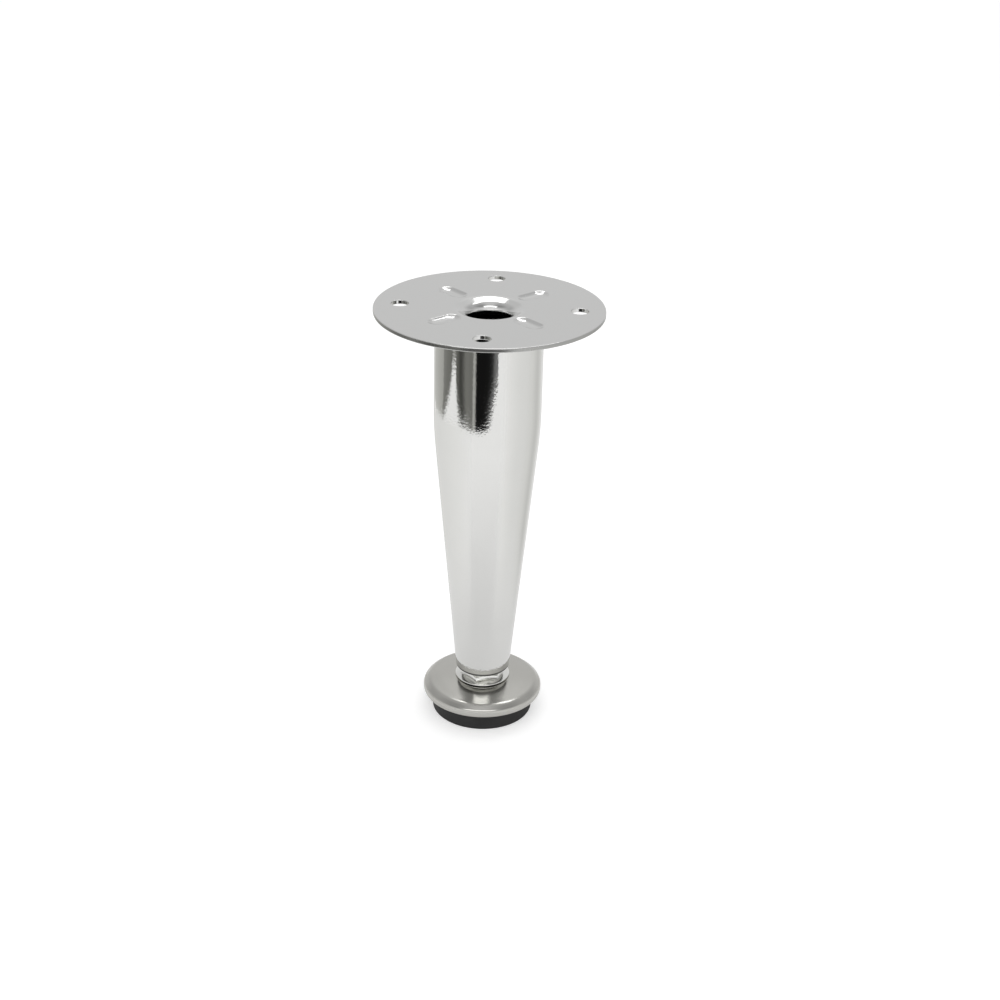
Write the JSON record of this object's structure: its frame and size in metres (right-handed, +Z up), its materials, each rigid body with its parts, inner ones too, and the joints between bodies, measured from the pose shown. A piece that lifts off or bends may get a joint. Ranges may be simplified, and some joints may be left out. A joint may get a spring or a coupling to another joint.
{
  "type": "tapered furniture leg",
  "caption": "Tapered chrome tube leg with a round screw-on mounting plate on top and a screw-in levelling foot with a flange nut, a pressed metal cap and a black pad.",
  "frame": {"origin": "centre of the pad's underside, on the floor, with the foot screwed in as far as the picture shows", "axes": "+Z up along the leg's axis to the mounting plate; the screw holes lie on the X and Y axes"},
  "size_m": [0.08, 0.08, 0.16],
  "materials": {
    "plate_satin_chrome": "satin chrome plating over pressed steel, faint rolling lines",
    "tube_chrome": "polished chrome plating with a faint orange-peel near the top",
    "plain_steel": "plain turned steel, lightly oiled",
    "stud_zinc": "bright zinc plating over a rolled thread",
    "nut_nickel": "bright nickel plating over pressed steel",
    "cap_nickel": "satin nickel plating over pressed steel",
    "pad_rubber": "moulded black rubber, matt"
  },
  "bodies": {
    "leg": {"mounting_plate": "plate_satin_chrome", "leg_tube": "tube_chrome", "thread_bush": "plain_steel"},
    "foot": {"foot_cap": "cap_nickel", "foot_pad": "pad_rubber"},
    "stud": {"levelling_stud": "stud_zinc", "flange_nut": "nut_nickel"}
  },
  "joints": [
    {"name": "foot_height", "type": "slide", "parent": "leg", "child": "foot", "axis": [0, 0, -1], "range_m": [-0.00075, 0.0135]},
    {"name": "stud_turn", "type": "hinge", "parent": "foot", "child": "stud", "pos_m": [0, 0, 0.0133], "axis": [0, 0, -1], "range_deg": [-180, 3240]}
  ],
  "couplings": [
    {"joint": "stud_turn", "follows": "foot_height", "rad_per_m": 4188.8}
  ]
}
